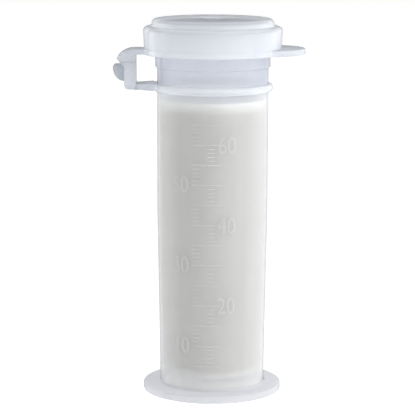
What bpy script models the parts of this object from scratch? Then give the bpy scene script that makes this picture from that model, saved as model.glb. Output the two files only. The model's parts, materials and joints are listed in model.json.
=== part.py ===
"""A footed, flat-bottomed sample and storage tube with a tethered snap lid, filled with a white liquid.

The tube stands on +Z with its origin at the centre of the foot's underside. The lid's strap is on -X
and its thumb tab on +X. Two film hinges, both along Y, let the strap's link and the lid swing open.
"""

import math

import bmesh
import bpy
from mathutils import Matrix, Vector

MM = 0.001
FIT_GAP = 0.3 * MM  # between pieces that touch
TURN_STEPS = 64
ARC_STEPS = 4

# Overall
HEIGHT = 117.6 * MM

# Foot
FOOT_RADIUS = 21.7 * MM
FOOT_THICKNESS = 2.4 * MM
FOOT_EDGE = 0.5 * MM
SPIGOT_WALL = 1.3 * MM
SPIGOT_HEIGHT = 1.6 * MM

# Barrel and neck
BARREL_RADIUS = 17.35 * MM
BARREL_LOW_RADIUS = 16.5 * MM
TAPER_TOP_Z = 58.0 * MM
TAPER_LOW_Z = 10.0 * MM
WALL = 0.9 * MM
FLOOR_Z = 5.6 * MM
FLOOR_THICKNESS = 1.1 * MM
FLOOR_FILLET = 2.5 * MM
NECK_RADIUS = 17.95 * MM
NECK_STEP_Z = 102.3 * MM
RIM_Z = 113.6 * MM
RIM_EDGE = 0.35 * MM
SNAP_BEAD_RADIUS = 18.5 * MM
SNAP_BEAD_Z = 111.2 * MM
SNAP_BEAD_HEIGHT = 1.8 * MM

# Liquid
MILK_LEVEL_Z = 91.8 * MM

# Retaining ring round the neck, and the lower arm of the strap
RING_RADIUS = 18.8 * MM
RING_LOW_Z = 95.15 * MM
RING_HEIGHT = 2.35 * MM
STRAP_HALF_WIDTH = 4.5 * MM
ARM_ROOT_LOW_Z = 95.35 * MM
ARM_ROOT_HIGH_Z = 97.75 * MM
ARM_END_LOW_Z = 95.8 * MM
ARM_END_HIGH_Z = 97.4 * MM
LINK_INNER_X = -23.9 * MM
LINK_OUTER_X = -27.45 * MM
LINK_CORNER = 1.2 * MM

# Lug on the link's outer face: a quarter of an ellipse below, a round nose above
LUG_HALF_WIDTH = 2.4 * MM
LUG_LOW_Z = 98.2 * MM
LUG_NOSE_X = -30.2 * MM
LUG_NOSE_Z = 102.45 * MM
LUG_NOSE_RADIUS = 0.9 * MM

# Lid
LID_RADIUS = 21.7 * MM
LID_LOW_RADIUS = 21.45 * MM
LID_WALL = 1.2 * MM
SKIRT_LOW_Z = 106.6 * MM
SKIRT_BAND_Z = 108.5 * MM
SHOULDER_Z = 115.2 * MM
SHOULDER_EDGE = 1.3 * MM
CROWN_RADIUS = 19.1 * MM
CROWN_EDGE = 1.5 * MM
TAB_CENTRE_X = 16.65 * MM
TAB_RADIUS = 12.1 * MM
TAB_THICKNESS = 1.9 * MM
LID_ARM_LOW_Z = 106.65 * MM
LID_ARM_HIGH_Z = 108.3 * MM
ELBOW_START_X = -24.5 * MM
ELBOW_REACH = 5.9 * MM
ELBOW_DROP = 5.1 * MM
ELBOW_TURN = math.radians(64)

# Plug seal under the crown, tapered at its tip to enter the mouth
PLUG_RADIUS = 15.0 * MM
PLUG_TIP_RADIUS = 14.5 * MM
PLUG_WALL = 0.9 * MM
PLUG_TIP_Z = 112.3 * MM

# Film hinges, both along Y
STRAP_HINGE = Vector((-23.75 * MM, 0, 95.7 * MM))
LID_HINGE = Vector((-28.8 * MM, 0, 104.1 * MM))


def plastic(name, colour, roughness, alpha=1.0):
    """A plain moulded finish: colour in linear RGB."""
    material = bpy.data.materials.new(name)
    material.use_nodes = True
    shader = material.node_tree.nodes["Principled BSDF"]
    shader.inputs["Base Color"].default_value = (*colour, 1.0)
    shader.inputs["Roughness"].default_value = roughness
    shader.inputs["Metallic"].default_value = 0.0
    shader.inputs["Alpha"].default_value = alpha
    return material


def clear_scene():
    for obj in list(bpy.data.objects):
        bpy.data.objects.remove(obj, do_unlink=True)


def arc(centre, radii, start, end, steps=ARC_STEPS):
    """Points from start to end in degrees; radii is one radius, or the two half-axes of an ellipse."""
    across, up = radii if isinstance(radii, tuple) else (radii, radii)
    points = []
    for step in range(steps + 1):
        angle = math.radians(start + (end - start) * step / steps)
        points.append((centre[0] + across * math.cos(angle), centre[1] + up * math.sin(angle)))
    return points


def finished(name, mesh, material):
    """The mesh as a smooth-shaded object in the scene."""
    mesh.materials.append(material)
    mesh.shade_smooth()
    mesh.set_sharp_from_angle(angle=math.radians(30))
    obj = bpy.data.objects.new(name, mesh)
    bpy.context.scene.collection.objects.link(obj)
    return obj


def turned(name, outline, material):
    """Spins a closed outline of (radius, z) points a full turn about Z."""
    shape = bmesh.new()
    corners = [shape.verts.new((radius, 0, z)) for radius, z in outline]
    edges = []
    for corner, following in zip(corners, corners[1:] + corners[:1]):
        if corner.co.x > 0 or following.co.x > 0:
            edges.append(shape.edges.new((corner, following)))
    bmesh.ops.spin(
        shape,
        geom=corners + edges,
        axis=(0, 0, 1),
        cent=(0, 0, 0),
        angle=math.tau,
        steps=TURN_STEPS,
        use_merge=True,
    )
    bmesh.ops.remove_doubles(shape, verts=shape.verts, dist=1e-6)
    bmesh.ops.recalc_face_normals(shape, faces=shape.faces)
    mesh = bpy.data.meshes.new(name)
    shape.to_mesh(mesh)
    shape.free()
    return finished(name, mesh, material)


def prism(name, outline, direction, material):
    """Extrudes a closed 3-D outline by the vector direction."""
    shape = bmesh.new()
    base = shape.faces.new([shape.verts.new(point) for point in outline])
    swept = bmesh.ops.extrude_face_region(shape, geom=[base], use_keep_orig=True)
    moved = [item for item in swept["geom"] if isinstance(item, bmesh.types.BMVert)]
    bmesh.ops.translate(shape, verts=moved, vec=direction)
    bmesh.ops.recalc_face_normals(shape, faces=shape.faces)
    mesh = bpy.data.meshes.new(name)
    shape.to_mesh(mesh)
    shape.free()
    return finished(name, mesh, material)


def strap_piece(name, outline, half_width, material):
    """A length of strap: an outline in the XZ plane, as wide as the strap along Y."""
    return prism(name, [(x, -half_width, z) for x, z in outline], (0, 2 * half_width, 0), material)


def unite(obj, tool):
    """Joins the hidden tool's shape to the object with a live Boolean."""
    tool.hide_render = True
    tool.display_type = "WIRE"
    join = obj.modifiers.new("join_" + tool.name, "BOOLEAN")
    join.operation = "UNION"
    join.object = tool


def pivot(name, place, parent=None):
    """An empty on a hinge's axis."""
    empty = bpy.data.objects.new(name, None)
    bpy.context.scene.collection.objects.link(empty)
    empty.parent = parent
    empty.location = place - parent.location if parent else place
    return empty


def hang(empty, place, pieces):
    """Parents the pieces to the empty at place, leaving each where it is in the world."""
    for piece in pieces:
        piece.data.transform(Matrix.Translation(-place))
        piece.parent = empty
        for modifier in piece.modifiers:
            if modifier.type == "BOOLEAN":
                modifier.object.data.transform(Matrix.Translation(-place))
                modifier.object.parent = empty


def foot_disc(material):
    """The stand: a flat round foot, with a spigot that locates inside the barrel's open skirt."""
    spigot_outer = BARREL_LOW_RADIUS - WALL - FIT_GAP
    spigot_inner = spigot_outer - SPIGOT_WALL
    edge_centre = FOOT_RADIUS - FOOT_EDGE
    outline = [
        (0, FOOT_THICKNESS),
        (spigot_inner, FOOT_THICKNESS),
        (spigot_inner, FOOT_THICKNESS + SPIGOT_HEIGHT),
        (spigot_outer, FOOT_THICKNESS + SPIGOT_HEIGHT),
        (spigot_outer, FOOT_THICKNESS),
    ]
    outline += arc((edge_centre, FOOT_THICKNESS - FOOT_EDGE), FOOT_EDGE, 90, 0)
    outline += arc((edge_centre, FOOT_EDGE), FOOT_EDGE, 0, -90)
    outline.append((0, 0))
    return turned("foot_disc", outline, material)


def tube_barrel(material):
    """The tube: neck with a snap bead, straight upper barrel, tapered lower barrel, raised floor."""
    bore = BARREL_RADIUS - WALL
    low_bore = BARREL_LOW_RADIUS - WALL
    bead_rise = SNAP_BEAD_RADIUS - NECK_RADIUS
    outline = arc((NECK_RADIUS - RIM_EDGE, RIM_Z - RIM_EDGE), RIM_EDGE, 90, 0, 2)
    outline += arc((NECK_RADIUS, SNAP_BEAD_Z), (bead_rise, SNAP_BEAD_HEIGHT / 2), 90, -90, 6)
    outline += [
        (NECK_RADIUS, NECK_STEP_Z + (NECK_RADIUS - BARREL_RADIUS)),
        (BARREL_RADIUS, NECK_STEP_Z),
        (BARREL_RADIUS, TAPER_TOP_Z),
        (BARREL_LOW_RADIUS, TAPER_LOW_Z),
        (BARREL_LOW_RADIUS, FOOT_THICKNESS + FIT_GAP),
        (low_bore, FOOT_THICKNESS + FIT_GAP),
        (low_bore, FLOOR_Z - FLOOR_THICKNESS),
        (0, FLOOR_Z - FLOOR_THICKNESS),
        (0, FLOOR_Z),
    ]
    outline += arc((low_bore - FLOOR_FILLET, FLOOR_Z + FLOOR_FILLET), FLOOR_FILLET, -90, 0)
    outline += [
        (low_bore, TAPER_LOW_Z),
        (bore, TAPER_TOP_Z),
        (bore, RIM_Z - RIM_EDGE),
        (bore + RIM_EDGE, RIM_Z),
    ]
    return turned("tube_barrel", outline, material)


def milk_fill(material):
    """The liquid, as one solid a fitting gap inside the barrel."""
    bore = BARREL_RADIUS - WALL - FIT_GAP
    low_bore = BARREL_LOW_RADIUS - WALL - FIT_GAP
    low_z = FLOOR_Z + FIT_GAP
    outline = [(0, MILK_LEVEL_Z), (bore, MILK_LEVEL_Z), (bore, TAPER_TOP_Z), (low_bore, TAPER_LOW_Z)]
    outline += arc((low_bore - FLOOR_FILLET, low_z + FLOOR_FILLET), FLOOR_FILLET, 0, -90)
    outline.append((0, low_z))
    return turned("milk_fill", outline, material)


def neck_ring(material):
    """The ring that holds the strap to the neck, with the strap's lower arm moulded on."""
    inner = BARREL_RADIUS + FIT_GAP
    middle_z = RING_LOW_Z + RING_HEIGHT / 2
    bulge = RING_RADIUS - inner - 0.4 * MM
    outline = [(inner, RING_LOW_Z + RING_HEIGHT)]
    outline += arc((RING_RADIUS - bulge, middle_z), (bulge, RING_HEIGHT / 2), 90, -90, 6)
    outline.append((inner, RING_LOW_Z))
    ring = turned("neck_ring", outline, material)
    root_x = -(inner + RING_RADIUS) / 2
    end_x = LINK_INNER_X + FIT_GAP
    arm = [
        (root_x, ARM_ROOT_LOW_Z),
        (root_x, ARM_ROOT_HIGH_Z),
        (end_x, ARM_END_HIGH_Z),
        (end_x, ARM_END_LOW_Z),
    ]
    unite(ring, strap_piece("neck_arm_shape", arm, STRAP_HALF_WIDTH, material))
    return ring


def hinge_link(material):
    """The upright of the strap between its two film hinges, with the stop lug on its outer face."""
    top_z = LID_HINGE.z - FIT_GAP / 2
    low_z = ARM_END_LOW_Z
    corner = (LINK_OUTER_X + LINK_CORNER, low_z + LINK_CORNER)
    upright = [(LINK_INNER_X, low_z), (LINK_INNER_X, top_z), (LID_HINGE.x, top_z)]
    upright.append((LINK_OUTER_X, top_z - (LINK_OUTER_X - LID_HINGE.x)))
    upright += arc(corner, LINK_CORNER, 180, 270)
    link = strap_piece("hinge_link", upright, STRAP_HALF_WIDTH, material)
    inside_x = LINK_OUTER_X + 0.8 * MM
    nose = (LUG_NOSE_X, LUG_NOSE_Z)
    belly = (LINK_OUTER_X, LUG_NOSE_Z)
    belly_axes = (LINK_OUTER_X - LUG_NOSE_X + LUG_NOSE_RADIUS, LUG_NOSE_Z - LUG_LOW_Z)
    lug = [(inside_x, LUG_NOSE_Z + LUG_NOSE_RADIUS)]
    lug += arc(nose, LUG_NOSE_RADIUS, 90, 180)
    lug += arc(belly, belly_axes, 180, 270)[1:]
    lug.append((inside_x, LUG_LOW_Z))
    unite(link, strap_piece("stop_lug_shape", lug, LUG_HALF_WIDTH, material))
    return link


def lid_shell():
    """The lid's outline: crown, shoulder, skirt with its lower band, and the hollow inside."""
    crown_inner = CROWN_RADIUS - LID_WALL
    skirt_inner = LID_RADIUS - LID_WALL
    outline = [(0, HEIGHT)]
    outline += arc((CROWN_RADIUS - CROWN_EDGE, HEIGHT - CROWN_EDGE), CROWN_EDGE, 90, 0)
    outline.append((CROWN_RADIUS, SHOULDER_Z))
    outline += arc((LID_RADIUS - SHOULDER_EDGE, SHOULDER_Z - SHOULDER_EDGE), SHOULDER_EDGE, 90, 0)
    outline += [
        (LID_LOW_RADIUS, SKIRT_BAND_Z),
        (LID_RADIUS, SKIRT_BAND_Z),
        (LID_RADIUS, SKIRT_LOW_Z),
        (skirt_inner, SKIRT_LOW_Z),
        (skirt_inner, SHOULDER_Z - LID_WALL),
        (crown_inner, SHOULDER_Z - LID_WALL),
        (crown_inner, HEIGHT - LID_WALL),
        (0, HEIGHT - LID_WALL),
    ]
    return outline


def thumb_tab(material):
    """A round tongue that grows out of the skirt's lower band, for lifting the lid."""
    inside = LID_RADIUS - LID_WALL / 2
    meet_x = (inside**2 - TAB_RADIUS**2 + TAB_CENTRE_X**2) / (2 * TAB_CENTRE_X)
    meet_y = math.sqrt(inside**2 - meet_x**2)
    tongue = math.degrees(math.atan2(meet_y, meet_x - TAB_CENTRE_X))
    root = math.degrees(math.atan2(meet_y, meet_x))
    plan = arc((TAB_CENTRE_X, 0), TAB_RADIUS, -tongue, tongue, 24)
    plan += arc((0, 0), inside, root, -root, 12)[1:-1]
    low_z = SKIRT_LOW_Z + 0.05 * MM
    return prism("thumb_tab_shape", [(x, y, low_z) for x, y in plan], (0, 0, TAB_THICKNESS), material)


def lid_arm(material):
    """The strap's upper arm and its elbow, which turns down to the lid's film hinge."""
    root_x = -(LID_RADIUS - LID_WALL / 2)
    low_z = LID_HINGE.z + FIT_GAP / 2
    elbow_centre = (ELBOW_START_X, LID_ARM_HIGH_Z - ELBOW_DROP)
    elbow = arc(elbow_centre, (ELBOW_REACH, ELBOW_DROP), 90, 90 + math.degrees(ELBOW_TURN), 8)
    outline = [(root_x, LID_ARM_HIGH_Z)] + elbow
    outline += [
        (LID_HINGE.x, low_z),
        (LINK_INNER_X, low_z),
        (LINK_INNER_X, LID_ARM_LOW_Z),
        (root_x, LID_ARM_LOW_Z),
    ]
    return strap_piece("lid_arm_shape", outline, STRAP_HALF_WIDTH, material)


def lid_cap(material):
    cap = turned("lid_cap", lid_shell(), material)
    unite(cap, thumb_tab(material))
    unite(cap, lid_arm(material))
    return cap


def plug_seal(material):
    """The ring under the crown that enters the tube's mouth."""
    top_z = HEIGHT - LID_WALL - FIT_GAP
    outline = [
        (PLUG_RADIUS, top_z),
        (PLUG_RADIUS, RIM_Z),
        (PLUG_TIP_RADIUS, PLUG_TIP_Z),
        (PLUG_TIP_RADIUS - PLUG_WALL / 2, PLUG_TIP_Z),
        (PLUG_RADIUS - PLUG_WALL, RIM_Z),
        (PLUG_RADIUS - PLUG_WALL, top_z),
    ]
    return turned("plug_seal", outline, material)


def build():
    clear_scene()
    barrel_plastic = plastic("barrel_polypropylene", (0.80, 0.81, 0.84), 0.30, 0.5)
    lid_plastic = plastic("lid_polypropylene", (0.72, 0.74, 0.80), 0.35, 0.8)
    milk = plastic("milk", (0.92, 0.91, 0.88), 0.45)
    base = pivot("tube_base", Vector((0, 0, 0)))
    link_pivot = pivot("strap_hinge_axis", STRAP_HINGE, base)
    lid_pivot = pivot("lid_hinge_axis", LID_HINGE, link_pivot)
    fixed = [foot_disc(barrel_plastic), tube_barrel(barrel_plastic), milk_fill(milk)]
    hang(base, Vector((0, 0, 0)), fixed + [neck_ring(lid_plastic)])
    hang(link_pivot, STRAP_HINGE, [hinge_link(lid_plastic)])
    hang(lid_pivot, LID_HINGE, [lid_cap(lid_plastic), plug_seal(lid_plastic)])


build()
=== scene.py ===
"""Looks for a footed storage tube with a tethered snap lid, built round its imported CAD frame.

Laid out as a Blender add-on and run as a script. All lengths are in metres unless a name says mm.
"""

import json
import math

import bmesh
import bpy
from mathutils import Matrix, Vector


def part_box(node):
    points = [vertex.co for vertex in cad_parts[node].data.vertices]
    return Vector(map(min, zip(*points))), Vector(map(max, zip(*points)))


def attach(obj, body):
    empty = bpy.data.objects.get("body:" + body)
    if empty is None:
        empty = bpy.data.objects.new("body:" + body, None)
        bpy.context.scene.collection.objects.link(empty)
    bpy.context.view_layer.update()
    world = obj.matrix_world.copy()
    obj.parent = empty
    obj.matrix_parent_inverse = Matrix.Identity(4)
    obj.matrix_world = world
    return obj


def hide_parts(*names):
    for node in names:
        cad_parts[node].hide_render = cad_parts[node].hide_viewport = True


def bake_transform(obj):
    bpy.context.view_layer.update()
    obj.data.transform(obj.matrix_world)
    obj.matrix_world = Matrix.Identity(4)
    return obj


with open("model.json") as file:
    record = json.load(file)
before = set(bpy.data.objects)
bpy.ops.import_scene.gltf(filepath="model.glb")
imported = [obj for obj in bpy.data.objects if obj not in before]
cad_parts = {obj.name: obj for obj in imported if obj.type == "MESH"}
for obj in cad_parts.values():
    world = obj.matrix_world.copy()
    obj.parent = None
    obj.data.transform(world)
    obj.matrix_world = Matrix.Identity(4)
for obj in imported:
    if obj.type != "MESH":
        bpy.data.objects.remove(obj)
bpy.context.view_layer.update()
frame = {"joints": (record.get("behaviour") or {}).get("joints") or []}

bl_info = {
    "name": "Footed storage tube",
    "version": (1, 0, 0),
    "blender": (4, 5, 0),
    "location": "3D View > Sidebar > Storage Tube",
    "description": "Builds the looks of a footed storage tube with a tethered snap lid",
    "category": "Object",
}

MM = 0.001

# Places read from the frame
_, BARREL_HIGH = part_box("tube_barrel")
_, FOOT_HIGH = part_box("foot_disc")
_, LID_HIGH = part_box("lid_cap")
_, RING_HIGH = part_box("neck_ring")
LINK_LOW, LINK_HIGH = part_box("hinge_link")
_, MILK_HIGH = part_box("milk_fill")
PLUG_LOW, PLUG_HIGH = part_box("plug_seal")
JOINTS = {joint["name"]: Vector(joint["pos_m"]) for joint in frame["joints"]}
LID_HINGE = JOINTS["lid_hinge"]
STRAP_HINGE = JOINTS["strap_hinge"]

# Barrel
BARREL_RADIUS = 17.35 * MM
BARREL_LOW_RADIUS = 16.5 * MM
TAPER_TOP_Z = 58.0 * MM
TAPER_LOW_Z = 10.0 * MM
FLOOR_Z = 5.6 * MM
FLOOR_THICKNESS = 1.1 * MM
FLOOR_FILLET = 2.5 * MM
NECK_RADIUS = 17.95 * MM
NECK_STEP_Z = 102.3 * MM
RIM_Z = BARREL_HIGH.z
SNAP_BEAD_RADIUS = BARREL_HIGH.x
SNAP_BEAD_Z = 111.2 * MM
SNAP_BEAD_HALF = 0.9 * MM

# Foot
FOOT_RADIUS = FOOT_HIGH.x
FOOT_TOP_Z = 2.4 * MM
SPIGOT_WALL = 1.3 * MM
SPIGOT_RADIUS = 15.5 * MM

# Lid
LID_RADIUS = LID_HIGH.y
LID_LOW_RADIUS = 21.42 * MM
LID_WALL = 1.2 * MM
SKIRT_LOW_Z = 106.6 * MM
SKIRT_BAND_Z = 108.5 * MM
SHOULDER_Z = 115.2 * MM
CROWN_RADIUS = 19.1 * MM
TAB_CENTRE_X = 16.65 * MM
TAB_RADIUS = LID_HIGH.x - TAB_CENTRE_X

# Strap
STRAP_HALF_WIDTH = LINK_HIGH.y
STRAP_ROUNDING = 0.12 * MM
LINK_INNER_X = -23.9 * MM
LINK_OUTER_X = -27.45 * MM
ARM_TOP_Z = 108.3 * MM
ARM_LOW_Z = 106.65 * MM
FLARE_SWEEP = 3 * MM
SEAM = 0.03 * MM
LUG_NOSE = (-30.2 * MM, 102.45 * MM)
LUG_NOSE_RADIUS = 0.9 * MM
LUG_HALF_WIDTH = 2.4 * MM

# Milk
MILK_INSET = 0.5 * MM
MENISCUS = 0.9 * MM

# Raised marks. The figures and the ticks' centres are turned from the barrel's front, in degrees.
TEN_LINE_Z = 17.05 * MM
LINE_STEP = 1.2905 * MM
LINE_CLOSING = 0.0006 * MM
FIRST_ML, LAST_ML = 5, 65
SHORT_TICK = 7.2
LONG_TICK = 14.5
RIGHT_LADDER = -1.5
LEFT_LADDER = -17.3
RIGHT_FIGURES = 15.0
LEFT_FIGURES = -35.0
FIGURE_SQUEEZE = 0.82

# Steps round the axis of a turned piece, and how near two points are merged
FINE = 160
MERGE = 1e-6


def srgb(code, alpha=1.0):
    """A #rrggbb colour as linear RGBA."""
    channels = [int(code[place : place + 2], 16) / 255 for place in (1, 3, 5)]
    linear = [c / 12.92 if c <= 0.04045 else ((c + 0.055) / 1.055) ** 2.4 for c in channels]
    return (*linear, alpha)


def arc(centre, radii, start, end, steps=8):
    """Points from start to end in degrees. radii is one radius, or an ellipse's two half-axes."""
    across, up = radii if isinstance(radii, tuple) else (radii, radii)
    points = []
    for step in range(steps + 1):
        angle = math.radians(start + (end - start) * step / steps)
        points.append((centre[0] + across * math.cos(angle), centre[1] + up * math.sin(angle)))
    return points


# ---------------------------------------------------------------- materials


def add_node(tree, kind, settings=None, **links):
    """Adds a node.

    settings are its properties or fixed input values, and links are sockets by input name. A link
    named _1 goes to input 1, and an underscore inside a name stands for a space.
    """
    node = tree.nodes.new(kind)
    for key, value in (settings or {}).items():
        if hasattr(node, key):
            setattr(node, key, value)
        else:
            node.inputs[key].default_value = value
    for key, socket in links.items():
        place = int(key[1:]) if key[1:].isdigit() else key.replace("_", " ")
        tree.links.new(socket, node.inputs[place])
    return node


def new_material(name):
    """An empty node material, its tree and its output node."""
    material = bpy.data.materials.new(name)
    material.use_nodes = True
    material.node_tree.nodes.clear()
    return material, material.node_tree, add_node(material.node_tree, "ShaderNodeOutputMaterial")


def blended_colour(tree, factor, first, second):
    """first turning to second as factor rises. Each is linear RGBA or a colour socket."""
    node = add_node(tree, "ShaderNodeMix", {"data_type": "RGBA"}, Factor=factor)
    for name, value in (("A", first), ("B", second)):
        if isinstance(value, tuple):
            node.inputs[name].default_value = value
        else:
            tree.links.new(value, node.inputs[name])
    return node.outputs["Result"]


def clouded(tree, place, colour, size, detail):
    """The colour drifting to a slightly paler one in soft clouds, and the clouds' own value."""
    look = {"Scale": 1 / size, "Detail": detail}
    cloud = add_node(tree, "ShaderNodeTexNoise", look, Vector=place)
    paler = tuple(min(1.0, channel * 1.05) for channel in colour)
    factor = cloud.outputs["Fac"]
    return blended_colour(tree, factor, (*colour, 1.0), (*paler, 1.0)), factor


def ramp(tree, value, start, end, low=0.0, high=1.0):
    """value carried from start..end to low..high, and held there beyond."""
    limits = {"From Min": start, "From Max": end, "To Min": low, "To Max": high}
    return add_node(tree, "ShaderNodeMapRange", limits, Value=value).outputs["Result"]


def polypropylene(
    name, colour, opacity, edge_opacity, roughness, glow, grain_mm, edge=(0.6, 0.92), cool=None
):
    """Natural polypropylene, injection moulded: milky, lets light through, soft wide highlights.

    opacity is what one face hides seen square on, and edge_opacity what it hides edge on, where
    the light passes along the wall. glow is the share of light that leaves by the far side. The
    mould's surface shows as a fine, shallow grain. edge is the span of turning away over which
    the wall is painted grey, a painted shade on the edges. cool is the colour painted above the
    retaining ring, a painted cool light from the lid.
    """
    material, tree, output = new_material(name)
    place = add_node(tree, "ShaderNodeTexCoord").outputs["Object"]
    tint, cloud = clouded(tree, place, colour, 9 * MM, 3.0)
    # Painted cool light: above the retaining ring the tint turns to the cool colour, standing in
    # for the lid's cool light on the neck.
    if cool:
        height = add_node(tree, "ShaderNodeSeparateXYZ", None, Vector=place).outputs["Z"]
        above = ramp(tree, height, COOL_START_Z, COOL_END_Z)
        tint = blended_colour(tree, above, tint, srgb(cool))
    facing = add_node(tree, "ShaderNodeLayerWeight", {"Blend": 0.35}).outputs["Facing"]
    # Painted shade: the colour turns to the edge grey where the face turns away, edge on.
    tint = blended_colour(tree, ramp(tree, facing, *edge), tint, srgb(EDGE_SHADE_TONE))
    grain = add_node(
        tree, "ShaderNodeTexNoise", {"Scale": 1 / (grain_mm * MM), "Detail": 2.0}, Vector=place
    )
    bump = add_node(
        tree,
        "ShaderNodeBump",
        {"Strength": 0.1, "Distance": 0.02 * MM},
        Height=grain.outputs["Fac"],
    )
    skin = add_node(
        tree,
        "ShaderNodeBsdfPrincipled",
        {"IOR": 1.49, "Specular IOR Level": 0.3},
        Base_Color=tint,
        Roughness=ramp(tree, cloud, 0, 1, roughness - 0.04, roughness + 0.06),
        Normal=bump.outputs["Normal"],
    )
    through = add_node(tree, "ShaderNodeBsdfTranslucent", None, Color=tint)
    body = add_node(
        tree, "ShaderNodeMixShader", {"Fac": glow}, _1=skin.outputs[0], _2=through.outputs[0]
    )
    surface = add_node(
        tree,
        "ShaderNodeMixShader",
        None,
        _0=ramp(tree, facing, 0.15, 0.75, opacity, edge_opacity),
        _1=add_node(tree, "ShaderNodeBsdfTransparent").outputs[0],
        _2=body.outputs[0],
    )
    tree.links.new(surface.outputs[0], output.inputs["Surface"])
    return material


def milk_white(name, colour, lit):
    """Whole milk: a dense white liquid, soft all through, faintly warm, paler where light enters.

    lit is the colour painted next to the free surface and the floor, a painted light where the
    light comes in.
    """
    material, tree, output = new_material(name)
    place = add_node(tree, "ShaderNodeTexCoord").outputs["Object"]
    tint, _ = clouded(tree, place, colour, 14 * MM, 2.0)
    height = add_node(tree, "ShaderNodeSeparateXYZ", None, Vector=place).outputs["Z"]
    level = bpy.context.scene.storage_tube.milk_level
    # Painted light: the tint turns to the lit colour near the free surface and near the floor.
    near_top = ramp(tree, height, level - 3 * MM, level + 0.5 * MM)
    near_floor = ramp(tree, height, FLOOR_Z + 3.5 * MM, FLOOR_Z)
    tint = blended_colour(tree, near_top, tint, srgb(lit))
    tint = blended_colour(tree, near_floor, tint, srgb(lit))
    liquid = add_node(
        tree,
        "ShaderNodeBsdfPrincipled",
        {
            "IOR": 1.35,
            "Roughness": 0.5,
            "Specular IOR Level": 0.2,
            "Subsurface Weight": 0.35,
            "Subsurface Radius": (1.0, 0.9, 0.8),
            "Subsurface Scale": 2.0 * MM,
        },
        Base_Color=tint,
    )
    tree.links.new(liquid.outputs[0], output.inputs["Surface"])
    return material


def seamless_floor(name, colour, glow):
    """A pale studio sweep, lit from under as a light table is: no hard shadow falls on it."""
    material, tree, output = new_material(name)
    paper = add_node(tree, "ShaderNodeBsdfDiffuse", {"Color": srgb(colour)})
    light = add_node(tree, "ShaderNodeEmission", {"Color": srgb(colour), "Strength": glow})
    both = add_node(tree, "ShaderNodeAddShader", None, _0=paper.outputs[0], _1=light.outputs[0])
    tree.links.new(both.outputs[0], output.inputs["Surface"])
    return material


# The grey painted on walls seen edge on: a painted shade.
EDGE_SHADE_TONE = "#a2a6ae"
# Heights over which the barrel's painted cool light from the lid fades in.
COOL_START_Z = 92 * MM
COOL_END_Z = 99 * MM


def plastic_look(opacity, edge_opacity, roughness, glow, grain_mm=0.3, **more):
    """One polypropylene finish's values by name, in polypropylene's own order."""
    values = {"opacity": opacity, "edge_opacity": edge_opacity, "roughness": roughness}
    return {**values, "glow": glow, "grain_mm": grain_mm, **more}


# Each finish: what makes it, the setting that holds its colour, and its other values. A plastic's
# are its opacity, edge opacity, roughness, glow and grain in mm: thicker plastic hides more.
FINISHES = {
    "moulded_barrel_pp": (
        polypropylene,
        "barrel_colour",
        # cool is a painted cool light from the lid, over the neck.
        plastic_look(0.36, 0.72, 0.16, 0.5, 0.35, edge=(0.56, 0.9), cool="#d6dae4"),
    ),
    "raised_marks_pp": (polypropylene, "marks_colour", plastic_look(0.36, 0.6, 0.3, 0.45)),
    "raised_figures_pp": (polypropylene, "figures_colour", plastic_look(0.45, 0.6, 0.35, 0.35)),
    "moulded_foot_pp": (polypropylene, "foot_colour", plastic_look(0.5, 0.8, 0.16, 0.5, 0.35)),
    # The strap's plastic hides more, as it is thicker; its colour, darker than the lid's, is
    # painted shade.
    "moulded_strap_pp": (polypropylene, "strap_colour", plastic_look(0.78, 0.92, 0.22, 0.32)),
    # The lug's darker colour is painted shade: it is the strap's plastic, painted darker where it
    # sits back.
    "moulded_lug_pp": (polypropylene, "lug_colour", plastic_look(0.85, 0.95, 0.22, 0.25)),
    "moulded_lid_pp": (
        polypropylene,
        "lid_colour",
        plastic_look(0.36, 0.72, 0.34, 0.46, edge=(0.54, 0.92)),
    ),
    "moulded_seal_pp": (polypropylene, "seal_colour", plastic_look(0.36, 0.6, 0.22, 0.8)),
    # Painted light: a paler, glowing copy of the foot's plastic on the faces inside the foot,
    # lifting the shade under the milk.
    "moulded_spigot_pp": (
        polypropylene,
        "spigot_colour",
        plastic_look(0.36, 0.5, 0.2, 0.85, edge=(0.8, 0.99)),
    ),
    # lit is the milk's painted light near its surface and its floor.
    "whole_milk": (milk_white, "milk_colour", {"lit": "#e4e4e2"}),
}


def finish(name):
    """The named material, made once, its main colour taken from the tube's settings."""
    if name not in bpy.data.materials:
        maker, colour, values = FINISHES[name]
        maker(name, tuple(getattr(bpy.context.scene.storage_tube, colour)), **values)
    return bpy.data.materials[name]


# ---------------------------------------------------------------- geometry nodes


def add_socket(tree, name, kind, side="INPUT"):
    """Gives a node tree a named input or output."""
    return tree.interface.new_socket(name, in_out=side, socket_type="NodeSocket" + kind)


def painted(tree, geometry, finish_socket, result_socket):
    """Ends a tree: instances made real, then the finish set on everything."""
    real = add_node(tree, "GeometryNodeRealizeInstances", None, Geometry=geometry)
    coat = add_node(tree, "GeometryNodeSetMaterial", None, Geometry=real.outputs["Geometry"])
    tree.links.new(finish_socket, coat.inputs["Material"])
    tree.links.new(coat.outputs["Geometry"], result_socket)


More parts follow.
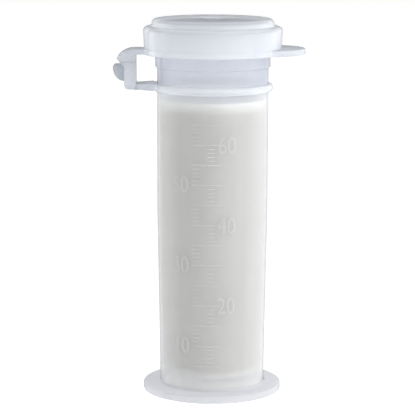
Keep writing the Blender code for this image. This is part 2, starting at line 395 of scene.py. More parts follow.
def lathe_tree():
    """Turns an outline of edges, drawn as (radius, -z), about the Z axis."""
    tree = bpy.data.node_groups.new("turned_outline", "GeometryNodeTree")
    add_socket(tree, "Outline", "Geometry")
    add_socket(tree, "Segments", "Int").default_value = FINE
    add_socket(tree, "Path Radius", "Float").default_value = MM
    add_socket(tree, "Merge Distance", "Float").default_value = MERGE
    add_socket(tree, "Finish", "Material")
    add_socket(tree, "Turned", "Geometry", "OUTPUT")
    given = tree.nodes.new("NodeGroupInput")
    result = tree.nodes.new("NodeGroupOutput")
    path = add_node(tree, "GeometryNodeCurvePrimitiveCircle")
    tree.links.new(given.outputs["Segments"], path.inputs["Resolution"])
    tree.links.new(given.outputs["Path Radius"], path.inputs["Radius"])
    outline = add_node(tree, "GeometryNodeMeshToCurve", None, Mesh=given.outputs["Outline"])
    swept = add_node(tree, "GeometryNodeCurveToMesh", None, Curve=path.outputs["Curve"])
    tree.links.new(outline.outputs["Curve"], swept.inputs["Profile Curve"])
    merged = add_node(tree, "GeometryNodeMergeByDistance", None, Geometry=swept.outputs["Mesh"])
    tree.links.new(given.outputs["Merge Distance"], merged.inputs["Distance"])
    painted(tree, merged.outputs["Geometry"], given.outputs["Finish"], result.inputs["Turned"])
    return tree


def marks_tree():
    """Sets one tick bar on each point, at its height, turned about Z and scaled to the girth."""
    tree = bpy.data.node_groups.new("graduation_marks", "GeometryNodeTree")
    add_socket(tree, "Heights", "Geometry")
    add_socket(tree, "Tick", "Object")
    add_socket(tree, "Finish", "Material")
    add_socket(tree, "Marks", "Geometry", "OUTPUT")
    given = tree.nodes.new("NodeGroupInput")
    result = tree.nodes.new("NodeGroupOutput")
    tick = add_node(tree, "GeometryNodeObjectInfo", None, Object=given.outputs["Tick"])
    placed = add_node(tree, "GeometryNodeInstanceOnPoints", None, Points=given.outputs["Heights"])
    tree.links.new(tick.outputs["Geometry"], placed.inputs["Instance"])
    for name, place in (("girth", "Scale"), ("turn", "Rotation")):
        values = {"data_type": "FLOAT_VECTOR", "Name": name}
        stored = add_node(tree, "GeometryNodeInputNamedAttribute", values)
        tree.links.new(stored.outputs["Attribute"], placed.inputs[place])
    painted(tree, placed.outputs["Instances"], given.outputs["Finish"], result.inputs["Marks"])
    return tree


def run_tree(obj, tree, values):
    """The plain mesh that a node tree, its inputs set by name, makes of obj. obj is removed."""
    modifier = obj.modifiers.new(tree.name, "NODES")
    modifier.node_group = tree
    for item in tree.interface.items_tree:
        if item.name in values:
            modifier[item.identifier] = values[item.name]
    bpy.context.view_layer.update()
    graph = bpy.context.evaluated_depsgraph_get()
    mesh = bpy.data.meshes.new_from_object(obj.evaluated_get(graph), depsgraph=graph)
    bpy.data.objects.remove(obj)
    return mesh


# ---------------------------------------------------------------- mesh helpers


def link(name, mesh):
    """A new object that holds the mesh, in the scene."""
    obj = bpy.data.objects.new(name, mesh)
    bpy.context.scene.collection.objects.link(obj)
    return obj


def tidy(mesh, sharp=35):
    """Merges doubles, turns the faces outwards and shades smooth up to the sharp angle."""
    shape = bmesh.new()
    shape.from_mesh(mesh)
    bmesh.ops.remove_doubles(shape, verts=shape.verts, dist=MERGE)
    bmesh.ops.dissolve_degenerate(shape, edges=shape.edges, dist=1e-7)
    bmesh.ops.recalc_face_normals(shape, faces=shape.faces)
    shape.to_mesh(mesh)
    shape.free()
    mesh.shade_smooth()
    mesh.set_sharp_from_angle(angle=math.radians(sharp))
    return mesh


def turned(name, outline, material, segments=FINE):
    """A piece turned from a closed outline of (radius, z) points, by the lathe tree."""
    mesh = bpy.data.meshes.new(name + "_outline")
    points = [(radius - MM, -z, 0) for radius, z in outline]
    count = len(points)
    mesh.from_pydata(points, [(i, (i + 1) % count) for i in range(count)], [])
    values = {"Segments": segments, "Path Radius": MM, "Merge Distance": MERGE, "Finish": material}
    return link(name, tidy(run_tree(link(name, mesh), node_tree("turned_outline"), values)))


def node_tree(name):
    """The node tree of this name, made once."""
    makers = {"turned_outline": lathe_tree, "graduation_marks": marks_tree}
    return bpy.data.node_groups.get(name) or makers[name]()


def prism(name, outline, direction, material, rounding=0.0):
    """Extrudes a closed 3-D outline by a vector and rounds its edges."""
    shape = bmesh.new()
    base = shape.faces.new([shape.verts.new(point) for point in outline])
    swept = bmesh.ops.extrude_face_region(shape, geom=[base], use_keep_orig=True)
    moved = [item for item in swept["geom"] if isinstance(item, bmesh.types.BMVert)]
    bmesh.ops.translate(shape, verts=moved, vec=direction)
    bmesh.ops.recalc_face_normals(shape, faces=shape.faces)
    mesh = bpy.data.meshes.new(name)
    shape.to_mesh(mesh)
    shape.free()
    mesh.materials.append(material)
    obj = link(name, mesh)
    if rounding:
        bevel = obj.modifiers.new("rounding", "BEVEL")
        bevel.width = rounding
        bevel.segments = 3
        bevel.limit_method = "ANGLE"
        bevel.angle_limit = math.radians(40)
        baked(obj)
    return obj


def baked(obj):
    """Applies the object's modifiers to its mesh."""
    bpy.context.view_layer.update()
    graph = bpy.context.evaluated_depsgraph_get()
    mesh = bpy.data.meshes.new_from_object(obj.evaluated_get(graph), depsgraph=graph)
    obj.modifiers.clear()
    obj.data = mesh
    return obj


def united(obj, *tools):
    """Joins the tools to obj as one skin and removes them."""
    for tool in tools:
        join = obj.modifiers.new("join", "BOOLEAN")
        join.operation = "UNION"
        join.solver = "EXACT"
        join.object = tool
        join.material_mode = "TRANSFER"
        baked(obj)
        bpy.data.objects.remove(tool)
    tidy(obj.data)
    return obj


def strap_piece(name, outline, half_width, material, rounding=STRAP_ROUNDING):
    """A piece of the strap from its side view, an outline of (x, z), as wide as the strap."""
    points = [(x, -half_width, z) for x, z in outline]
    return prism(name, points, (0, 2 * half_width, 0), material, rounding)


# ---------------------------------------------------------------- pieces


def bore_radius(z, wall):
    """The inside radius of the barrel at height z."""
    share = min(max((z - TAPER_LOW_Z) / (TAPER_TOP_Z - TAPER_LOW_Z), 0), 1)
    return BARREL_LOW_RADIUS + (BARREL_RADIUS - BARREL_LOW_RADIUS) * share - wall


def line_height(volume_ml):
    """The height of a millilitre line. The lines close up a little as the bore widens."""
    past = volume_ml - 10
    return TEN_LINE_Z + past * LINE_STEP - past**2 * LINE_CLOSING


def barrel_outline(wall):
    """Rim, snap bead, neck step, straight and tapered wall, open skirt, and a filleted floor."""
    low_bore = BARREL_LOW_RADIUS - wall
    bore = BARREL_RADIUS - wall
    rim = 0.4 * MM
    bead = SNAP_BEAD_RADIUS - NECK_RADIUS
    outline = arc((NECK_RADIUS - rim, RIM_Z - rim), rim, 90, 0)
    outline += arc((NECK_RADIUS, SNAP_BEAD_Z), (bead, SNAP_BEAD_HALF), 90, -90, 12)
    step = NECK_RADIUS - BARREL_RADIUS
    outline += arc((NECK_RADIUS - step / 2, NECK_STEP_Z + step), step / 2, 0, -90, 5)
    outline += arc((BARREL_RADIUS + step / 2, NECK_STEP_Z), step / 2, 90, 180, 5)
    outline += [(BARREL_RADIUS, z * MM) for z in (95, 85, 75, 65)]
    outline += [(BARREL_RADIUS, TAPER_TOP_Z)]
    outline += [(bore_radius(z * MM, 0), z * MM) for z in (50, 40, 30, 20)]
    outline += [
        (BARREL_LOW_RADIUS, TAPER_LOW_Z),
        (BARREL_LOW_RADIUS, FOOT_TOP_Z + 0.02 * MM),
        (low_bore, FOOT_TOP_Z + 0.02 * MM),
        (low_bore, FLOOR_Z - FLOOR_THICKNESS),
        (0, FLOOR_Z - FLOOR_THICKNESS),
        (0, FLOOR_Z),
    ]
    outline += arc((low_bore - FLOOR_FILLET, FLOOR_Z + FLOOR_FILLET), FLOOR_FILLET, -90, 0)
    outline += [(low_bore, TAPER_LOW_Z), (bore, TAPER_TOP_Z)]
    outline += [(bore, RIM_Z - rim), (bore + rim, RIM_Z)]
    return outline


def milk_outline(wall, level):
    """The liquid, its sides drawn in a little, up to a meniscus that climbs the wall."""
    bore = BARREL_RADIUS - wall
    low_bore = BARREL_LOW_RADIUS - wall
    climb = MENISCUS
    outline = [(0, level), (bore - 2 * climb, level)]
    outline += arc((bore - 2 * climb, level + climb), (2 * climb, climb), -75, 0, 6)[:-1]
    outline += [(bore, level + climb), (bore, level)]
    outline += arc((bore, level - 3 * MM), (MILK_INSET, 3 * MM), 90, 180, 6)[1:]
    outline += [(bore - MILK_INSET, TAPER_TOP_Z), (low_bore - MILK_INSET, TAPER_LOW_Z)]
    low_edge = (low_bore - MILK_INSET - FLOOR_FILLET, FLOOR_Z + FLOOR_FILLET)
    outline += arc(low_edge, FLOOR_FILLET, 0, -90)
    outline.append((0, FLOOR_Z))
    return outline


def foot_outline():
    """A flat disc with rounded edges, a fillet up to the barrel and a spigot that holds it."""
    spigot_inner = SPIGOT_RADIUS - SPIGOT_WALL
    edge = 0.55 * MM
    fillet = 0.8 * MM
    top_z = FOOT_TOP_Z
    outline = [(0, top_z), (spigot_inner, top_z), (spigot_inner, FOOT_HIGH.z)]
    outline += [(SPIGOT_RADIUS, FOOT_HIGH.z), (SPIGOT_RADIUS, top_z)]
    outline += arc((BARREL_LOW_RADIUS + fillet, top_z + fillet), fillet, 180, 270, 6)
    outline += arc((FOOT_RADIUS - edge, top_z - edge), edge, 90, 0)
    outline += arc((FOOT_RADIUS - edge, edge), edge, 0, -90)
    outline.append((0, 0))
    return outline


def ring_outline():
    """A band with a rounded outside, tight round the barrel just under the neck."""
    inner = BARREL_RADIUS + 0.02 * MM
    outer = RING_HIGH.x
    middle_z = 96.3 * MM
    half = 1.175 * MM
    bulge = outer - inner - 0.5 * MM
    outline = [(inner, middle_z + half)]
    outline += arc((outer - bulge, middle_z), (bulge, half), 90, -90, 14)
    outline.append((inner, middle_z - half))
    return outline


def lid_outline():
    """Crown with the gate's mark, rounded shoulder, tapered skirt with a band, hollow inside."""
    crown_inner = CROWN_RADIUS - LID_WALL
    skirt_inner = LID_RADIUS - LID_WALL
    top = LID_HIGH.z
    fillet = 0.5 * MM
    crown_edge = (1.6 * MM, 1.5 * MM)
    shoulder = (1.4 * MM, 1.3 * MM)
    band = 0.25 * MM
    lip = 0.3 * MM
    gate = ((0, 0.1), (1.0, 0.1), (1.3, 0.32), (2.4, 0.32), (3.4, 0.05), (10, 0.03))
    outline = [(radius * MM, top - depth * MM) for radius, depth in gate]
    outline += arc((CROWN_RADIUS - crown_edge[0], top - crown_edge[1]), crown_edge, 90, 0, 10)
    outline += arc((CROWN_RADIUS + fillet, SHOULDER_Z + fillet), fillet, 180, 270, 5)
    outline += arc((LID_RADIUS - shoulder[0], SHOULDER_Z - shoulder[1]), shoulder, 85, 0, 10)
    outline += [(LID_LOW_RADIUS, SKIRT_BAND_Z + band)]
    outline += arc((LID_RADIUS - band, SKIRT_BAND_Z - band), band, 90, 0, 4)
    outline += arc((LID_RADIUS - lip, SKIRT_LOW_Z + lip), lip, 0, -90, 5)
    outline += [
        (skirt_inner, SKIRT_LOW_Z),
        (skirt_inner, SHOULDER_Z - LID_WALL - fillet),
        (skirt_inner - fillet, SHOULDER_Z - LID_WALL),
        (crown_inner, SHOULDER_Z - LID_WALL),
        (crown_inner, top - LID_WALL - fillet),
        (crown_inner - fillet, top - LID_WALL),
        (0, top - LID_WALL),
    ]
    return outline


def thumb_tab(material):
    """A round tongue that grows out of the skirt's band, its rim rounded over."""
    inside = LID_RADIUS - LID_WALL / 2
    meet_x = (inside**2 - TAB_RADIUS**2 + TAB_CENTRE_X**2) / (2 * TAB_CENTRE_X)
    meet_y = math.sqrt(inside**2 - meet_x**2)
    tongue = math.degrees(math.atan2(meet_y, meet_x - TAB_CENTRE_X))
    root = math.degrees(math.atan2(meet_y, meet_x))
    plan = arc((TAB_CENTRE_X, 0), TAB_RADIUS, -tongue, tongue, 72)
    plan += arc((0, 0), inside, root, -root, 40)[1:-1]
    low_z = SKIRT_LOW_Z + 0.04 * MM
    thickness = 1.84 * MM
    points = [(x, y, low_z) for x, y in plan]
    return prism("tab_shape", points, (0, 0, thickness), material, 0.5 * MM)


def flare(radius, low_z, high_z, material):
    """The web that widens a strap arm where it runs into a round wall on the -X side."""
    edge = STRAP_HALF_WIDTH - 0.3 * MM
    sweep = FLARE_SWEEP
    centre_y = STRAP_HALF_WIDTH + sweep
    centre_x = -math.sqrt((radius + sweep) ** 2 - centre_y**2)
    start = math.degrees(math.atan2(-centre_y, -centre_x))
    upper = [(centre_x, edge), *arc((centre_x, centre_y), sweep, -90, start, 10)]
    lower = [(x, -y) for x, y in reversed(upper)]
    spread = -start
    inner = arc((0, 0), radius - 0.6 * MM, 180 - spread, 180 + spread, 24)
    plan = [*upper, *inner, *lower]
    points = [(x, y, low_z) for x, y in plan]
    return prism("flare_shape", points, (0, 0, high_z - low_z), material, 0.15 * MM)


def lid_arm(material):
    """The strap's upper arm and its elbow, which turns down to the lid's film hinge."""
    root_x = -(LID_RADIUS - LID_WALL / 2)
    low_z = LID_HINGE.z + SEAM / 2
    elbow = (5.9 * MM, 5.1 * MM)
    inside = 0.6 * MM
    outline = [(root_x, ARM_TOP_Z)]
    outline += arc((-24.5 * MM, ARM_TOP_Z - elbow[1]), elbow, 90, 154, 16)
    outline += [(LID_HINGE.x, low_z), (LINK_INNER_X, low_z)]
    outline += arc((LINK_INNER_X + inside, ARM_LOW_Z - inside), inside, 180, 90, 5)
    outline.append((root_x, ARM_LOW_Z))
    return strap_piece("arm_shape", outline, STRAP_HALF_WIDTH, material)


def film(name, corners):
    """A thin web across a joint. corners are its two opposite (x, z) corners at rest."""
    (x_low, z_low), (x_high, z_high) = corners
    steps = 10
    shares = [step / steps for step in range(steps + 1)]
    if x_high - x_low > z_high - z_low:
        along = [x_low + (x_high - x_low) * share for share in shares]
        outline = [(x, z_low) for x in along] + [(x, z_high) for x in reversed(along)]
    else:
        along = [z_low + (z_high - z_low) * share for share in shares]
        outline = [(x_low, z) for z in along] + [(x_high, z) for z in reversed(along)]
    plastic = finish("moulded_strap_pp")
    web = strap_piece(name, outline, STRAP_HALF_WIDTH - 0.1 * MM, plastic, 0)
    tidy(web.data)
    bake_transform(web)


def build_barrel(settings):
    barrel = turned("barrel_shell", barrel_outline(settings.wall), finish("moulded_barrel_pp"))
    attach(barrel, "tube")
    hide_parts("tube_barrel")


def tick_bar(length_deg, relief):
    """One raised bar on the barrel's full radius, centred on -Y, proud of it by the relief."""
    ends = length_deg / 2
    inner_ends = length_deg / 6
    half = 0.16 * MM
    inner = BARREL_RADIUS - 0.05 * MM
    outer = BARREL_RADIUS + relief
    shape = bmesh.new()
    rings = []
    for angle in (-90 - ends, -90 - inner_ends, -90 + inner_ends, -90 + ends):
        across = math.cos(math.radians(angle))
        along = math.sin(math.radians(angle))
        section = ((inner, -half), (outer, -half * 0.5), (outer, half * 0.5), (inner, half))
        rings.append([shape.verts.new((r * across, r * along, z)) for r, z in section])
    for first, second in zip(rings, rings[1:]):
        for i in range(4):
            j = (i + 1) % 4
            shape.faces.new((first[i], first[j], second[j], second[i]))
    shape.faces.new(rings[0])
    shape.faces.new(reversed(rings[-1]))
    bmesh.ops.recalc_face_normals(shape, faces=shape.faces)
    mesh = bpy.data.meshes.new("tick")
    shape.to_mesh(mesh)
    shape.free()
    return link("tick", mesh)


def build_marks(settings):
    """A tick for each millilitre in two ladders that change sides every 5 ml, longer at each 5."""
    short, long = [], []
    for volume in range(FIRST_ML, LAST_ML + 1):
        z = line_height(volume)
        if volume % 5:
            left = (volume // 5) % 2 == 0
            short.append((z, LEFT_LADDER if left else RIGHT_LADDER))
        else:
            reach = (LONG_TICK - SHORT_TICK) / 2
            long += [(z, RIGHT_LADDER + reach), (z, LEFT_LADDER + reach)]
    ladders = (("ticks_short", short, SHORT_TICK), ("ticks_long", long, LONG_TICK))
    for name, rows, length in ladders:
        mesh = bpy.data.meshes.new(name)
        mesh.from_pydata([(0, 0, z) for z, _ in rows], [], [])
        girth = mesh.attributes.new("girth", "FLOAT_VECTOR", "POINT")
        turn = mesh.attributes.new("turn", "FLOAT_VECTOR", "POINT")
        for index, (z, angle) in enumerate(rows):
            share = bore_radius(z, 0) / BARREL_RADIUS
            girth.data[index].vector = (share, share, 1)
            turn.data[index].vector = (0, 0, math.radians(angle))
        tick = tick_bar(length, settings.tick_relief)
        values = {"Tick": tick, "Finish": finish("raised_marks_pp")}
        made = run_tree(link(name, mesh), node_tree("graduation_marks"), values)
        bpy.data.objects.remove(tick)
        obj = link(name, made)
        made.shade_flat()
        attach(obj, "tube")
    for volume in range(10, LAST_ML + 1, 10):
        left = (volume // 10) % 2 == 1
        angle = LEFT_FIGURES if left else RIGHT_FIGURES
        numeral(settings, str(volume), line_height(volume), angle)


def numeral(settings, text, z, angle):
    """Raised figures wrapped round the barrel, centred on this height and this turn from -Y."""
    curve = bpy.data.curves.new("figures", "FONT")
    curve.body = text
    curve.size = settings.figure_height
    curve.extrude = settings.figure_relief
    curve.align_x = "CENTER"
    curve.resolution_u = 4
    holder = bpy.data.objects.new("figures", curve)
    bpy.context.scene.collection.objects.link(holder)
    bpy.context.view_layer.update()
    graph = bpy.context.evaluated_depsgraph_get()
    mesh = bpy.data.meshes.new_from_object(holder.evaluated_get(graph), depsgraph=graph)
    bpy.data.objects.remove(holder)
    shape = bmesh.new()
    shape.from_mesh(mesh)
    bmesh.ops.remove_doubles(shape, verts=shape.verts, dist=MERGE)
    bmesh.ops.triangulate(shape, faces=shape.faces)
    longest = 0.9 * MM
    long_edges = [edge for edge in shape.edges if edge.calc_length() > longest]
    bmesh.ops.subdivide_edges(shape, edges=long_edges, cuts=2)
    high = max(vert.co.y for vert in shape.verts)
    low = min(vert.co.y for vert in shape.verts)
    for vert in shape.verts:
        up = z + vert.co.y - (high + low) / 2
        radius = bore_radius(up, 0) + vert.co.z
        around = math.radians(angle - 90) + vert.co.x * FIGURE_SQUEEZE / BARREL_RADIUS
        vert.co = (radius * math.cos(around), radius * math.sin(around), up)
    bmesh.ops.recalc_face_normals(shape, faces=shape.faces)
    shape.to_mesh(mesh)
    shape.free()
    mesh.materials.clear()
    mesh.materials.append(finish("raised_figures_pp"))
    obj = link("figures_" + text, mesh)
    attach(obj, "tube")


def build_foot(settings):
    foot = turned("round_foot", foot_outline(), finish("moulded_foot_pp"))
    # The faces inside the foot take the paler finish: painted light in the foot's shaded inside.
    foot.data.materials.append(finish("moulded_spigot_pp"))
    for face in foot.data.polygons:
        high = face.center.z > FOOT_TOP_Z - 0.01 * MM
        face.material_index = int(high and face.center.xy.length < SPIGOT_RADIUS + 0.01 * MM)
    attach(foot, "tube")
    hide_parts("foot_disc")


def build_milk(settings):
    outline = milk_outline(settings.wall + 0.02 * MM, settings.milk_level)
    milk = turned("milk_body", outline, finish("whole_milk"))
    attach(milk, "tube")
    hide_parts("milk_fill")


def build_ring(settings):
    plastic = finish("moulded_strap_pp")
    ring = turned("retaining_ring", ring_outline(), finish("moulded_lid_pp"))
    root_x = -18.3 * MM
    end_x = STRAP_HINGE.x + SEAM / 2
    arm = [(root_x, 95.35 * MM), (root_x, 97.75 * MM), (end_x, 97.4 * MM), (end_x, 95.8 * MM)]
    united(
        ring,
        strap_piece("lower_arm_shape", arm, STRAP_HALF_WIDTH, plastic),
        flare(RING_HIGH.x - 0.1 * MM, 95.62 * MM, 97.42 * MM, plastic),
    )
    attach(ring, "tube")
    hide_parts("neck_ring")


def build_link(settings):
    plastic = finish("moulded_strap_pp")
    top_z = LID_HINGE.z - SEAM / 2
    low_z = LINK_LOW.z
    inner_x = STRAP_HINGE.x - SEAM / 2
    inside, outside = 0.4 * MM, 1.2 * MM
    upright = [(inner_x, low_z), (inner_x, 97.4 * MM)]
    upright += arc((LINK_INNER_X + inside, 97.8 * MM), inside, -90, -180, 4)
    upright += [(LINK_INNER_X, top_z), (LID_HINGE.x, top_z)]
    upright.append((LINK_OUTER_X, top_z - (LINK_OUTER_X - LID_HINGE.x)))
    upright += arc((LINK_OUTER_X + outside, low_z + outside), outside, 180, 270)
    piece = strap_piece("strap_link", upright, STRAP_HALF_WIDTH, plastic)
    root_x = LINK_OUTER_X + 0.8 * MM
    nose_z = LUG_NOSE[1]
    belly = (3.65 * MM, 4.25 * MM)
    lug = [(root_x, nose_z + LUG_NOSE_RADIUS), *arc(LUG_NOSE, LUG_NOSE_RADIUS, 90, 180)]
    lug += arc((LINK_OUTER_X, nose_z), belly, 180, 270, 12)[1:]
    lug.append((root_x, nose_z - belly[1]))
    # The lug is painted darker than the strap: painted shade.
    lug_shade = finish("moulded_lug_pp")
    united(piece, strap_piece("lug_shape", lug, LUG_HALF_WIDTH, lug_shade, 0.3 * MM))
    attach(piece, "link")
    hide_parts("hinge_link")


def build_films(settings):
    """The two film hinges that join the strap's parts: thin webs across the joints' axes."""
    x, z = STRAP_HINGE.x, STRAP_HINGE.z
    corners = ((x - 0.7 * MM, z - 0.05 * MM), (x + 0.7 * MM, z + 0.2 * MM))
    film("film_lower", corners)
    x, z = LID_HINGE.x, LID_HINGE.z
    corners = ((x - 0.05 * MM, z - 0.55 * MM), (x + 0.2 * MM, z + 0.55 * MM))
    film("film_upper", corners)


def build_lid(settings):
    plastic = finish("moulded_lid_pp")
    lid = turned("snap_lid", lid_outline(), plastic)
    # The tab, the arm and the web take the strap's finish: thicker plastic, and a darker colour
    # that is painted shade.
    thick = finish("moulded_strap_pp")
    low_z = ARM_LOW_Z + 0.05 * MM
    high_z = ARM_TOP_Z - 0.05 * MM
    web = flare(LID_RADIUS - 0.1 * MM, low_z, high_z, thick)
    united(lid, thumb_tab(thick), lid_arm(thick), web)
    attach(lid, "lid")
    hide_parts("lid_cap")


def build_plug(settings):
    wall = settings.seal_wall
    top_z = PLUG_HIGH.z + 0.3 * MM
    radius = PLUG_HIGH.x
    outline = [(radius, top_z), (radius, RIM_Z)]
    outline += arc((radius - wall / 2, PLUG_LOW.z + wall / 2), wall / 2, 0, -180, 8)
    outline += [(radius - wall, RIM_Z), (radius - wall, top_z)]
    plug = turned("plug_seal_ring", outline, finish("moulded_seal_pp"), segments=128)
    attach(plug, "lid")
    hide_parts("plug_seal")


# ---------------------------------------------------------------- stage

SWEEP_LIGHT = 1.0
HORIZON_LIGHT = 0.6
MIDDLE_LIGHT = 0.8
ZENITH_LIGHT = 0.35
FLOOR_GLOW = 0.5
SOFTBOX_SIZE = 0.7
FLOOR_REACH = 12.0
FLOOR_DROP = 0.02 * MM
CAMERA_LENS = 172.5
CAMERA_PLACE = (0, -0.618, 0.1615)
CAMERA_YAW, CAMERA_PITCH, CAMERA_ROLL = 0.142, -9.5, 0.166
SOFTBOXES = (
    ("key_right", (0.988, -0.571, 0.431), 9.0),
    ("side_right", (1.124, 0.198, 0.431), 0.5),
    ("rim_left", (-1.14, 0.05, 0.431), 3.2),
)


def build_stage(settings):
    """Floor, lights and camera."""
    scene = bpy.context.scene
    scene.view_settings.view_transform = "Standard"
    reach = FLOOR_REACH
    mesh = bpy.data.meshes.new("floor")
    corners = [(-reach, -reach, 0), (reach, -reach, 0), (reach, reach, 0), (-reach, reach, 0)]
    mesh.from_pydata(corners, [], [(0, 1, 2, 3)])
    mesh.materials.append(seamless_floor("studio_sweep", "#fafafa", FLOOR_GLOW))
    floor = link("floor", mesh)
    floor.location.z = -FLOOR_DROP
    sky()
    for name, place, power in SOFTBOXES:
        softbox(name, place, power)
    camera = bpy.data.cameras.new("camera")
    camera.lens = CAMERA_LENS
    camera.sensor_width = 36
    camera.clip_start = 0.01
    camera.clip_end = 50
    holder = bpy.data.objects.new("camera", camera)
    scene.collection.objects.link(holder)
    yaw = Matrix.Rotation(math.radians(CAMERA_YAW), 4, "Z")
    tilt = Matrix.Rotation(math.radians(90 + CAMERA_PITCH), 4, "X")
    roll = Matrix.Rotation(math.radians(CAMERA_ROLL), 4, "Z")
    place = Matrix.Translation(CAMERA_PLACE)
    holder.matrix_world = place @ yaw @ tilt @ roll
    scene.camera = holder


def sky():
    """An even studio, brighter low down than overhead, the sweep a little past the horizon."""
    world = bpy.data.worlds.new("studio")
    bpy.context.scene.world = world
    world.use_nodes = True
    tree = world.node_tree
    tree.nodes.clear()
    output = add_node(tree, "ShaderNodeOutputWorld")
    place = add_node(tree, "ShaderNodeTexCoord").outputs["Generated"]
    height = add_node(tree, "ShaderNodeSeparateXYZ", None, Vector=place).outputs["Z"]
    low = ramp(tree, height, 0.0, 0.2, HORIZON_LIGHT, MIDDLE_LIGHT)
    high = ramp(tree, height, 0.4, 0.8, 0.0, ZENITH_LIGHT - MIDDLE_LIGHT)
    sweep = ramp(tree, height, 0.055, 0.075, SWEEP_LIGHT - HORIZON_LIGHT, 0.0)
    upper = add_node(tree, "ShaderNodeMath", {"operation": "ADD"}, _0=low, _1=high).outputs[0]
    total = add_node(tree, "ShaderNodeMath", {"operation": "ADD"}, _0=upper, _1=sweep).outputs[0]
    light = add_node(tree, "ShaderNodeBackground", {"Color": (1, 1, 1, 1)}, Strength=total)
    tree.links.new(light.outputs[0], output.inputs["Surface"])


def softbox(name, place, power):
    """A square softbox turned to the tube's middle, unseen by the camera."""
    lamp = bpy.data.lights.new(name, "AREA")
    lamp.shape = "SQUARE"
    lamp.size = SOFTBOX_SIZE
    lamp.energy = power
    holder = bpy.data.objects.new(name, lamp)
    bpy.context.scene.collection.objects.link(holder)
    holder.location = place
    middle = Vector((0, 0, LID_HIGH.z / 2))
    holder.rotation_euler = (middle - Vector(place)).to_track_quat("-Z", "Y").to_euler()
    holder.visible_camera = False


# ---------------------------------------------------------------- add-on


def length_setting(name, description, default):
    return bpy.props.FloatProperty(
        name=name, description=description, default=default, min=0, precision=5, unit="LENGTH"
    )


def colour_setting(name, description, code):
    return bpy.props.FloatVectorProperty(
        name=name,
        description=description,
        default=srgb(code)[:3],
        min=0,
        max=1,
        subtype="COLOR",
    )


class TubeSettings(bpy.types.PropertyGroup):
    wall: length_setting("Wall", "Thickness of the barrel's wall", 0.9 * MM)
    milk_level: length_setting("Milk level", "Height of the milk's surface", MILK_HIGH.z)
    tick_relief: length_setting("Tick relief", "How far the ticks stand proud", 0.06 * MM)
    figure_relief: length_setting("Figure relief", "How far the figures stand proud", 0.08 * MM)
    figure_height: length_setting("Figure size", "Type size of the figures", 7.4 * MM)
    seal_wall: length_setting("Seal wall", "Thickness of the ring under the crown", 0.9 * MM)
    barrel_colour: colour_setting("Barrel", "Colour of the barrel's plastic", "#f2f3f4")
    marks_colour: colour_setting("Ticks", "Colour of the raised ticks", "#e8e9e9")
    figures_colour: colour_setting("Figures", "Colour of the raised figures", "#e2e3e2")
    foot_colour: colour_setting("Foot", "Colour of the foot's plastic", "#e2e3e7")
    # The strap's colour, darker than the lid's, is painted shade.
    strap_colour: colour_setting("Strap", "Colour of the strap's thick plastic", "#dce0e7")
    # Painted shade: the lug's darker copy of the strap's colour.
    lug_colour: colour_setting("Lug", "Colour of the strap's stop lug", "#c3c8cf")
    lid_colour: colour_setting("Lid", "Colour of the lid's plastic", "#f6f8fb")
    seal_colour: colour_setting("Seal", "Colour of the ring under the crown", "#f4f6f9")
    # Painted light: the paler colour of the faces inside the foot.
    spigot_colour: colour_setting("Spigot", "Colour of the foot's thin inside wall", "#fcfcf6")
    milk_colour: colour_setting("Milk", "Colour of the milk seen through the wall", "#a6a49e")


class Builder:
    """What the operators share: each runs its own builder with the tube's settings."""

    bl_options = {"REGISTER", "UNDO"}

    def execute(self, context):
        type(self).builder(context.scene.storage_tube)
        return {"FINISHED"}


class TUBE_OT_stage(Builder, bpy.types.Operator):
    """Floor, lights and camera"""

    bl_idname = "storage_tube.stage"
    bl_label = "Stage"
    builder = build_stage


class TUBE_OT_barrel(Builder, bpy.types.Operator):
    """The milky barrel with its neck and snap bead"""

    bl_idname = "storage_tube.barrel"
    bl_label = "Barrel"
    builder = build_barrel


class TUBE_OT_marks(Builder, bpy.types.Operator):
    """The raised millilitre ticks and figures"""

    bl_idname = "storage_tube.marks"
    bl_label = "Graduation marks"
    builder = build_marks


class TUBE_OT_foot(Builder, bpy.types.Operator):
    """The round foot"""

    bl_idname = "storage_tube.foot"
    bl_label = "Foot"
    builder = build_foot


class TUBE_OT_milk(Builder, bpy.types.Operator):
    """The milk in the barrel"""

    bl_idname = "storage_tube.milk"
    bl_label = "Milk"
    builder = build_milk


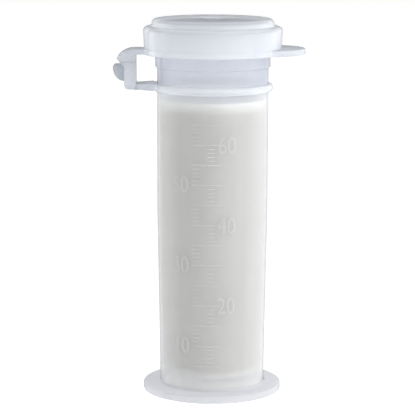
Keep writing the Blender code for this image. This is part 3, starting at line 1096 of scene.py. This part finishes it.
class TUBE_OT_ring(Builder, bpy.types.Operator):
    """The ring round the neck with the strap's lower arm"""

    bl_idname = "storage_tube.ring"
    bl_label = "Retaining ring"
    builder = build_ring


class TUBE_OT_link(Builder, bpy.types.Operator):
    """The strap's upright with its stop lug"""

    bl_idname = "storage_tube.link"
    bl_label = "Strap link"
    builder = build_link


class TUBE_OT_films(Builder, bpy.types.Operator):
    """The strap's two film hinges"""

    bl_idname = "storage_tube.films"
    bl_label = "Film hinges"
    builder = build_films


class TUBE_OT_lid(Builder, bpy.types.Operator):
    """The lid with its thumb tab and the strap's upper arm"""

    bl_idname = "storage_tube.lid"
    bl_label = "Snap lid"
    builder = build_lid


class TUBE_OT_plug(Builder, bpy.types.Operator):
    """The sealing ring under the crown"""

    bl_idname = "storage_tube.plug"
    bl_label = "Plug seal"
    builder = build_plug


OPERATORS = (
    TUBE_OT_stage,
    TUBE_OT_barrel,
    TUBE_OT_marks,
    TUBE_OT_foot,
    TUBE_OT_milk,
    TUBE_OT_ring,
    TUBE_OT_link,
    TUBE_OT_films,
    TUBE_OT_lid,
    TUBE_OT_plug,
)


class TUBE_PT_panel(bpy.types.Panel):
    """Lists the tube's settings and the operators that build it"""

    bl_label = "Storage Tube"
    bl_idname = "TUBE_PT_panel"
    bl_space_type = "VIEW_3D"
    bl_region_type = "UI"
    bl_category = "Storage Tube"

    def draw(self, context):
        settings = context.scene.storage_tube
        for name in TubeSettings.__annotations__:
            self.layout.prop(settings, name)
        for item in OPERATORS:
            self.layout.operator(item.bl_idname)


CLASSES = (TubeSettings, *OPERATORS, TUBE_PT_panel)


def register():
    for item in CLASSES:
        bpy.utils.register_class(item)
    bpy.types.Scene.storage_tube = bpy.props.PointerProperty(type=TubeSettings)


def unregister():
    del bpy.types.Scene.storage_tube
    for item in reversed(CLASSES):
        bpy.utils.unregister_class(item)


def main():
    register()
    for item in OPERATORS:
        group, name = item.bl_idname.split(".")
        getattr(getattr(bpy.ops, group), name)()


if __name__ == "__main__":
    main()
